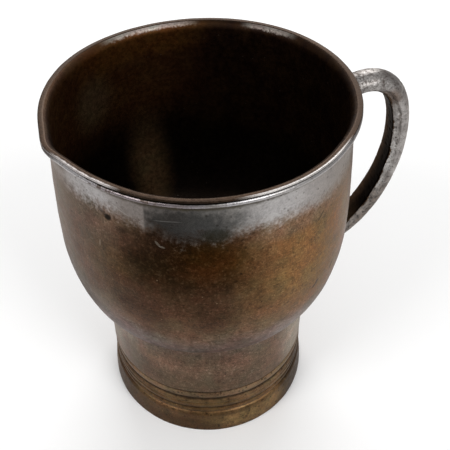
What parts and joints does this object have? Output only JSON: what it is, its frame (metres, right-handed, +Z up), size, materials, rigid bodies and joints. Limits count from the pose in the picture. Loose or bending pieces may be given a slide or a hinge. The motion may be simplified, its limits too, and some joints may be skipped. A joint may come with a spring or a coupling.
{
  "type": "beer mug",
  "caption": "Footed metal beer mug: bulged bowl on a straight waist, reeded foot ring, beaded lip and a cast C handle.",
  "frame": {"origin": "middle of the mug's outline seen from above, handle included, on the surface that it stands on", "axes": "+Z up along the mug's round axis, +X from the mug's axis towards the handle, +Y by the right-hand rule"},
  "size_m": [0.1258, 0.1, 0.13],
  "materials": {
    "body_tinned_brass": "brown patina with worn tin plating",
    "bead_tinned_brass": "worn tin plating, rubbed bright",
    "foot_brass": "brown patina, rubbed to yellow on the edges",
    "disc_brass": "dark brown patina",
    "cast_handle_brass": "pitted casting with grey tin plating",
    "soft_solder": "dull grey soft solder"
  },
  "bodies": {
    "root": {"body": "body_tinned_brass", "rim_bead": "bead_tinned_brass", "foot_ring": "foot_brass", "base_disc": "disc_brass", "handle": "cast_handle_brass", "upper_handle_solder": "soft_solder", "lower_handle_solder": "soft_solder", "foot_solder": "soft_solder", "base_solder": "soft_solder"}
  },
  "joints": []
}
